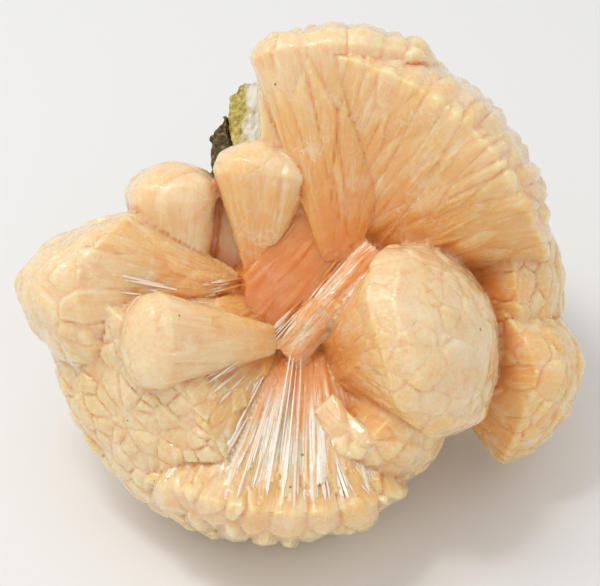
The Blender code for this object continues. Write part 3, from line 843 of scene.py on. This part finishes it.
class Crystals(Graph):
    """The crystals' material, worked out from what is kept with the mesh's points."""

    def __init__(self, name, depth):
        super().__init__(name)
        self.across, self.through, self.along = self.attribute("lines")
        self.share, self.tone, self.gap = self.attribute("marks")
        self.family = self.node("ShaderNodeAttribute", attribute_name="family").outputs["Fac"]
        self.shade = self.node("ShaderNodeAttribute", attribute_name="shade").outputs["Fac"]
        self.place = self.node("ShaderNodeTexCoord").outputs["Object"]
        self.silky = self.is_of(SILKY)
        drift = self.swing(self.noise(self.place, 90.0, 2.0), 0.17)
        level = self.math("ADD", self.math("ADD", self.share, drift), self.swing(self.tone, 0.07))
        self.milky = self.span(level, 0.3, 0.75, 0.3, 1.0)
        self.colour = self.ramp(level, ROOT_TO_TIP)
        self.feathers()
        self.fractures()
        self.lay(self.math("MULTIPLY", self.is_of(PALE), 0.55), BLADE_PALE)
        self.veils()
        self.silk_and_sheen()
        # Painted shade: deeper orange where the points are less open to light, from the shade attribute.
        self.lay(self.span(self.shade, 0.25, 0.80, 0.85, 0.0), PAINTED_CREVICE_SHADE)
        self.brown_joints()
        self.specks()
        self.look(Base_Color=self.colour, IOR=1.5, Coat_Weight=0.5, Coat_Roughness=0.06,
                  Subsurface_Weight=1.0 if depth else 0.0, Subsurface_Radius=(1.0, 0.5, 0.25),
                  Subsurface_Scale=self.math("MULTIPLY_ADD", self.silky, -SILKY_LOSS * depth, depth))
        self.surface()

    def is_of(self, family):
        """1 where the crystals are of this kind, else 0."""
        return self.math("COMPARE", self.family, family, 0.4)

    def fibres(self, wide, long, detail, roughness, distortion=0.0):
        """Noise drawn out along the crystals: its fineness across and along them, per millimetre."""
        stretched = self.vector(self.math("MULTIPLY", self.across, wide),
                                self.math("MULTIPLY", self.through, wide),
                                self.math("MULTIPLY", self.along, long))
        return self.noise(stretched, 1.0, detail, roughness, distortion)

    def lay(self, amount, colour):
        """Lays some of a colour over what is there."""
        self.colour = self.mix(amount, self.colour, colour)

    def feathers(self):
        """Feathery growth along the crystals, paler and deeper."""
        feather = self.fibres(1.1, 0.16, 6.0, 0.7, 0.3)
        self.lay(self.math("MULTIPLY", self.milky, self.span(feather, 0.50, 0.66, 0.0, 0.5)), FEATHER_PALE)
        self.lay(self.span(feather, 0.50, 0.34, 0.0, 0.32), FEATHER_DEEP)

    def fractures(self):
        """Thin pale fractures inside some of the plain crystals."""
        wave = self.node("ShaderNodeTexNoise", {"Vector": self.place, "Scale": 180.0, "Detail": 2.0})
        shifted = self.node("ShaderNodeVectorMath", {0: self.place, 1: (0.003, 0.003, 0.003)}).outputs[0]
        bent = self.node("ShaderNodeVectorMath", {0: shifted, 1: wave.outputs["Color"]},
                         operation="MULTIPLY")
        crack = self.node("ShaderNodeTexVoronoi", {"Vector": bent.outputs[0], "Scale": 210.0},
                          feature="DISTANCE_TO_EDGE").outputs["Distance"]
        crack = self.math("MULTIPLY", self.is_of(PLAIN), self.span(crack, 0.0, 0.05, 1.0, 0.0))
        crack = self.math("MULTIPLY", crack, self.span(self.noise(self.place, 120.0, 2.0), 0.48, 0.62))
        self.lay(self.math("MULTIPLY", crack, 0.4), FRACTURE_WHITE)

    def veils(self):
        """Milky veils inside the crystals, and clearer places that show a deeper colour."""
        veil = self.span(self.noise(self.place, 210.0, 5.0, 0.65), 0.48, 0.70, 0.0, 0.5)
        self.lay(self.math("MULTIPLY", self.milky, veil), VEIL_WHITE)
        elsewhere = self.node("ShaderNodeVectorMath", {0: self.place, 1: (3.1, 1.7, 0.4)}).outputs[0]
        self.lay(self.span(self.noise(elsewhere, 160.0, 4.0, 0.6), 0.50, 0.72, 0.0, 0.4), CLEAR_ORANGE)

    def silk_and_sheen(self):
        """Silky fibres: thin lines along the crystals, orange in some and white in others. The white is
        partly the fibres' pale colour and partly painted sheen.
        """
        bright = self.math("ADD", self.tone, self.swing(self.noise(self.place, 120.0, 1.0), 0.4))
        needle = self.math("COMPARE", self.tone, NEEDLE_TONE, 0.0001)
        thread = self.math("MAXIMUM", self.span(self.fibres(2.4, 0.09, 3.0, 0.6), 0.42, 0.56),
                           self.math("MULTIPLY", needle, 0.7))
        white_and_sheen = self.math("MULTIPLY", self.silky, self.span(bright, 0.3, 0.7, 0.25, 1.0))
        white_and_sheen = self.math("MULTIPLY", white_and_sheen, thread)
        # Painted sheen, with the fibres' own pale colour: white lines on the silky crystals away from
        # their roots.
        self.lay(self.math("MULTIPLY", white_and_sheen, self.span(self.share, 0.36, 0.60)), SILK_WHITE_AND_SHEEN)

    def brown_joints(self):
        """Brown lines in parts of the joints."""
        patch = self.span(self.noise(self.place, 140.0, 3.0), 0.56, 0.66, 0.0, 0.5)
        line = self.math("MULTIPLY", self.span(self.gap, 0.04, 0.2, 1.0, 0.0), patch)
        self.lay(self.math("MULTIPLY", line, self.span(self.share, 0.55, 0.75)), JOINT_BROWN)

    def specks(self):
        """Dark specks of dirt, most of them in the joints."""
        speck = self.node("ShaderNodeTexVoronoi", {"Vector": self.place, "Scale": 420.0})
        rare = self.node("ShaderNodeSeparateColor", {0: speck.outputs["Color"]}).outputs[0]
        limit = self.math("MULTIPLY", self.span(rare, 0.78, 1.0, 0.0, 0.17),
                          self.span(self.gap, 0.1, 0.7, 1.0, 0.45))
        spot = self.math("LESS_THAN", speck.outputs["Distance"], limit)
        self.lay(self.math("MULTIPLY", spot, 0.75), SPECK_BROWN)

    def surface(self):
        """Fine growth lines along each crystal, thin joints between the crystals, and their gloss."""
        lines = self.bump(self.fibres(1.2, 0.08, 4.0, 0.65), 0.0003, 0.6)
        uneven = self.swing(self.noise(self.place, 500.0, 2.0), 0.25)
        joints = self.bump(self.span(self.math("ADD", self.gap, uneven), 0.05, 0.3), 0.0001, 0.7, lines)
        self.look(Normal=self.bump(self.noise(self.place, 420.0, 2.0), 0.0003, 0.2, joints),
                  Roughness=self.span(self.noise(self.place, 300.0, 3.0), 0.3, 0.7, 0.08, 0.34))


def rock_material():
    g = Graph("basalt")
    place = g.node("ShaderNodeTexCoord").outputs["Object"]
    grain = g.noise(place, 900.0, 5.0, 0.65)
    g.look(Base_Color=g.ramp(grain, ROCK_GRAIN), Roughness=0.85, Normal=g.bump(grain, GRAIN_BUMP))
    return g.material


def crust_material():
    """White where the crust meets the crystals, brown where it meets the rock."""
    g = Graph("crust")
    place = g.node("ShaderNodeTexCoord").outputs["Object"]
    grain = g.noise(place, 1100.0, 5.0, 0.65)
    right = g.node("ShaderNodeSeparateXYZ", {0: place}).outputs[0]
    right = g.math("ADD", right, g.swing(g.noise(place, 300.0, 3.0), 0.003))
    colour = g.mix(g.span(right, *WHITE_FROM), g.ramp(grain, CRUST_GRAIN), CRUST_WHITE)
    colour = g.mix(g.span(right, *BROWN_UP_TO, 1.0, 0.0), colour, CRUST_BROWN)
    g.look(Base_Color=colour, Roughness=0.8, Normal=g.bump(grain, GRAIN_BUMP))
    return g.material


def add_piece(name, mesh, material, node):
    obj = bpy.data.objects.new(name, mesh)
    bpy.context.scene.collection.objects.link(obj)
    mesh.materials.clear()
    mesh.materials.append(material)
    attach(obj, "root")
    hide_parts(node)


def rough_copy(node, name, step, depth):
    """A finer copy of a CAD node's mesh with a grainy surface."""
    work = bmesh.new()
    work.from_mesh(frame["nodes"][node].data)
    bmesh.ops.remove_doubles(work, verts=work.verts, dist=1e-6)
    for _ in range(ROUGH_ROUNDS):
        bmesh.ops.subdivide_edges(work, edges=[e for e in work.edges if e.calc_length() > step], cuts=1,
                                  use_grid_fill=True)
        bmesh.ops.triangulate(work, faces=work.faces)
    work.normal_update()
    for vert in work.verts:
        spot = vert.co / MM
        wave = sum((size * noise.noise(spot * fine) for fine, size in ROUGH_WAVES), ROUGH_MIDDLE)
        vert.co -= vert.normal * (depth * wave * MM)
    mesh = bpy.data.meshes.new(name)
    work.to_mesh(mesh)
    work.free()
    return mesh


def studio():
    """Plain pale floor, soft light and the camera."""
    scene = bpy.context.scene
    scene.view_settings.view_transform = "Standard"
    floor = bmesh.new()
    bmesh.ops.create_grid(floor, x_segments=1, y_segments=1, size=FLOOR_SIZE)
    mesh = bpy.data.meshes.new("floor")
    floor.to_mesh(mesh)
    floor.free()
    ground = bpy.data.objects.new("floor", mesh)
    scene.collection.objects.link(ground)
    g = Graph("floor")
    g.look(Base_Color=FLOOR_COLOUR, Roughness=0.7)
    mesh.materials.append(g.material)

    world = bpy.data.worlds.new("studio")
    scene.world = world
    world.use_nodes = True
    world.node_tree.nodes["Background"].inputs[0].default_value = SKY_COLOUR
    world.node_tree.nodes["Background"].inputs[1].default_value = SKY_LIGHT

    target = Vector(WAIST_PLACE) * MM
    for name, spot, size, power, colour in LAMPS:
        light = bpy.data.lights.new(name, "AREA")
        light.energy, light.size, light.color = power, size, colour
        lamp = bpy.data.objects.new(name, light)
        scene.collection.objects.link(lamp)
        lamp.location = spot
        lamp.rotation_mode = "QUATERNION"
        lamp.rotation_quaternion = (lamp.location - target).to_track_quat("Z", "Y")

    camera = bpy.data.cameras.new("camera")
    camera.sensor_width = CAMERA_SENSOR
    camera.lens = CAMERA_LENS
    eye = bpy.data.objects.new("camera", camera)
    scene.collection.objects.link(eye)
    lift = math.radians(LEAN_DEG)
    back = Vector((0, -math.cos(lift), math.sin(lift)))
    eye.location = target + back * CAMERA_DISTANCE
    eye.rotation_mode = "QUATERNION"
    eye.rotation_quaternion = (-back).to_track_quat("-Z", "Y")
    scene.camera = eye


def note(mesh, name, kind, values):
    """Keeps numbers with the mesh's points, for its material."""
    layer = mesh.attributes.new(name, kind, "POINT")
    key = "vector" if kind == "FLOAT_VECTOR" else "value"
    layer.data.foreach_set(key, values.astype(np.float32).ravel())


def tree_of(mesh):
    spots = points_of(mesh)
    mesh.calc_loop_triangles()
    corners = np.empty(len(mesh.loop_triangles) * 3, dtype=np.int32)
    mesh.loop_triangles.foreach_get("vertices", corners)
    return BVHTree.FromPolygons(spots.tolist(), corners.reshape(-1, 3).tolist(), all_triangles=True)


def shade_of(mesh):
    """How open each point of the mesh is: 1 on a bare tip, 0 deep in a crevice. The material paints shade
    from it.
    """
    spots, normals = points_of(mesh), normals_of(mesh)
    tree = tree_of(mesh)
    rng = np.random.default_rng(SEED)
    ways = rng.normal(size=(SHADE_RAYS, 3))
    ways /= np.linalg.norm(ways, axis=1)[:, None]
    shade = np.zeros(len(spots))
    for way in ways:
        rays = normals * SHADE_NORMAL + way
        rays /= np.linalg.norm(rays, axis=1)[:, None]
        for index, (spot, normal, ray) in enumerate(zip(spots, normals, rays)):
            hit = tree.ray_cast(spot + normal * (SHADE_LIFT * MM), ray, SHADE_REACH * MM)
            shade[index] += 1.0 if hit[0] is None else hit[3] / (SHADE_REACH * MM)
    return shade / SHADE_RAYS


def crystal_mass(forms):
    """The mesh of all the sheaves and blades, and its surface on the display face, in millimetres."""
    mesh = grown_together([form.points for form in forms], Matrix.Identity(4))
    mesh = with_modifier(mesh, "REMESH", mode="VOXEL", voxel_size=SPACING)
    keep_outer_shell(mesh)
    smooth(mesh, SMOOTHING)
    height, lines, marks, family = carve(mesh, forms)
    spots = points_of(mesh) + normals_of(mesh) * height[:, None]
    mesh.vertices.foreach_set("co", spots.astype(np.float32).ravel())
    mesh.update()
    note(mesh, "lines", "FLOAT_VECTOR", lines)
    note(mesh, "marks", "FLOAT_VECTOR", marks)
    note(mesh, "family", "FLOAT", family)
    count = sum(len(face.vertices) - 2 for face in mesh.polygons)
    mesh = with_modifier(mesh, "DECIMATE", ratio=min(1.0, TRIANGLES / count))
    surface = tree_of(mesh)
    mesh.transform(resting_matrix())
    cut_level(mesh)
    keep_outer_shell(mesh)
    note(mesh, "shade", "FLOAT", shade_of(mesh))
    mesh.shade_smooth()
    mesh.set_sharp_from_angle(angle=math.radians(SHARP_DEG))
    return mesh, surface


def needle_mass(forms, surface):
    """The mesh of the silky needles."""
    mesh = grown_together(list(needles(random.Random(SEED), surface)), Matrix.Identity(4))
    _, lines, marks, family = carve(mesh, forms)
    marks[:, 1] = NEEDLE_TONE
    note(mesh, "lines", "FLOAT_VECTOR", lines)
    note(mesh, "marks", "FLOAT_VECTOR", marks)
    note(mesh, "family", "FLOAT", np.full(len(family), SILKY))
    note(mesh, "shade", "FLOAT", np.ones(len(family)))
    mesh.transform(resting_matrix())
    cut_level(mesh)
    return mesh


def main():
    forms = list(every_form())
    mass, surface = crystal_mass(forms)
    add_piece("stilbite_crystals", mass, Crystals("stilbite", LIGHT_DEPTH).material,
              "stilbite_cluster")
    add_piece("silky_needles", needle_mass(forms, surface), Crystals("silky", 0.0).material,
              "stilbite_cluster")
    add_piece("basalt_rock", rough_copy("basalt_matrix", "basalt_rock", 0.0007, 1.3), rock_material(),
              "basalt_matrix")
    add_piece("crust_rind", rough_copy("pale_crust", "crust_rind", 0.0006, 1.1), crust_material(),
              "pale_crust")
    studio()


main()
